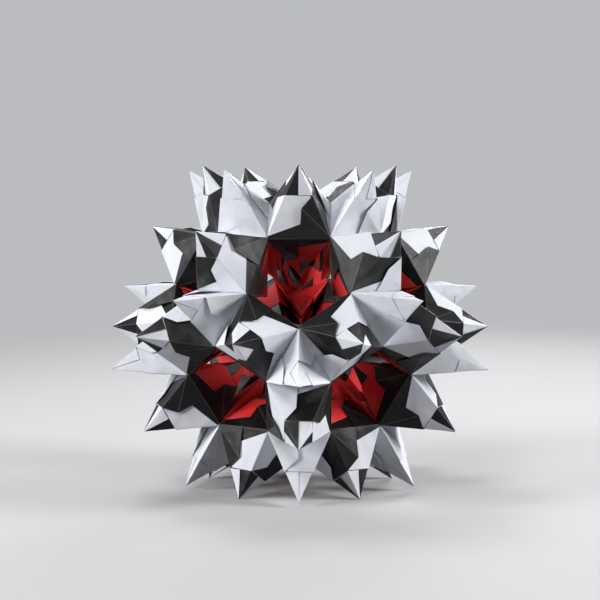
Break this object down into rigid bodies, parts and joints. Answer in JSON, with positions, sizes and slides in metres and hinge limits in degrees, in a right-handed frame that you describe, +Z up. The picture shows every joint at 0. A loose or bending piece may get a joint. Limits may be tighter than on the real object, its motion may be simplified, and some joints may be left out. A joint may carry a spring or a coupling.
{
  "type": "folded paper star ball",
  "caption": "Hollow paper star ball of interlocking folded units, with black and white points outside, black and red points inside and open pentagonal faces.",
  "frame": {"origin": "centre of the footprint, at the height of the lowest points", "axes": "+Z up through the middle of the top opening, -Y towards the front, +X to the right seen from the front"},
  "size_m": [0.2254, 0.2302, 0.1917],
  "materials": {
    "white_paper": "matte folded paper",
    "black_paper": "matte folded paper, paler along worn creases",
    "red_paper": "matte folded paper"
  },
  "bodies": {
    "root": {"black_ring_01": "black_paper", "black_ring_02": "black_paper", "black_ring_03": "black_paper", "black_ring_04": "black_paper", "black_ring_05": "black_paper", "black_ring_06": "black_paper", "black_ring_07": "black_paper", "black_ring_08": "black_paper", "black_ring_09": "black_paper", "black_ring_10": "black_paper", "black_ring_11": "black_paper", "black_ring_12": "black_paper", "white_point_01": "white_paper", "white_point_02": "white_paper", "white_point_03": "white_paper", "white_point_04": "white_paper", "white_point_05": "white_paper", "white_point_06": "white_paper", "white_point_07": "white_paper", "white_point_08": "white_paper", "white_point_09": "white_paper", "white_point_10": "white_paper", "white_point_11": "white_paper", "white_point_12": "white_paper", "white_point_13": "white_paper", "white_point_14": "white_paper", "white_point_15": "white_paper", "white_point_16": "white_paper", "white_point_17": "white_paper", "white_point_18": "white_paper", "white_point_19": "white_paper", "white_point_20": "white_paper", "red_point_01": "red_paper", "red_point_02": "red_paper", "red_point_03": "red_paper", "red_point_04": "red_paper", "red_point_05": "red_paper", "red_point_06": "red_paper", "red_point_07": "red_paper", "red_point_08": "red_paper", "red_point_09": "red_paper", "red_point_10": "red_paper", "red_point_11": "red_paper", "red_point_12": "red_paper", "red_point_13": "red_paper", "red_point_14": "red_paper", "red_point_15": "red_paper", "red_point_16": "red_paper", "red_point_17": "red_paper", "red_point_18": "red_paper", "red_point_19": "red_paper", "red_point_20": "red_paper"}
  },
  "joints": []
}
